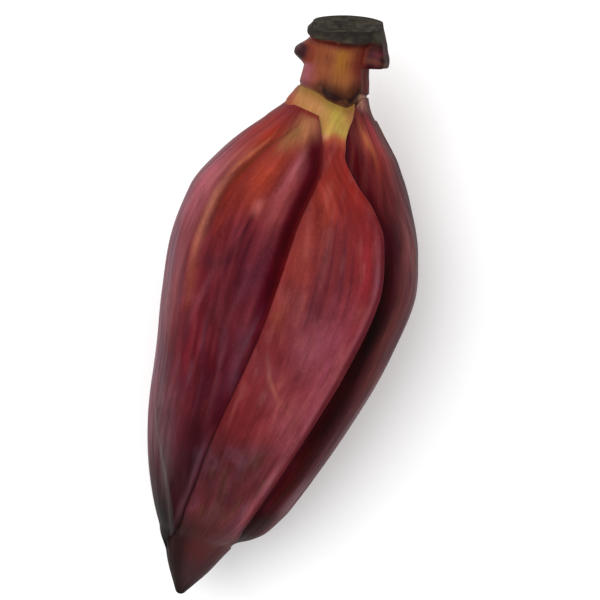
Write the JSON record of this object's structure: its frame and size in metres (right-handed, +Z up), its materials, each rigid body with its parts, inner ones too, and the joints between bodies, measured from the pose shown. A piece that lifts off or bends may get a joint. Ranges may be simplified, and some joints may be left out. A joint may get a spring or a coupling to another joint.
{
  "type": "banana blossom",
  "caption": "Teardrop banana blossom lying on its side: overlapping crimson bracts round florets and a closed heart, on a short cut stalk.",
  "frame": {"origin": "centre of the bounding box's underside, on the surface that the blossom lies on", "axes": "+Y along the bud toward its cut stalk, +Z up from the surface, +X to the right when looking down with the stalk away"},
  "size_m": [0.1092, 0.2638, 0.1034],
  "materials": {
    "bract_outer": "waxy, finely ribbed, satin",
    "bract_inner": "smooth, satin",
    "stalk": "fibrous, matte",
    "floret": "soft, satin"
  },
  "bodies": {
    "root": {"stalk": "stalk", "bract_left": "bract_outer", "bract_front": "bract_outer", "bract_right": "bract_outer", "bract_under_right": "bract_outer", "bract_under_left": "bract_outer", "inner_bract_1": "bract_inner", "inner_bract_2": "bract_inner", "inner_bract_3": "bract_inner", "inner_bract_4": "bract_inner", "inner_bract_5": "bract_inner", "heart": "bract_inner", "floret_row_1": "floret", "floret_row_2": "floret", "floret_row_3": "floret", "floret_row_4": "floret", "floret_row_5": "floret"}
  },
  "joints": []
}
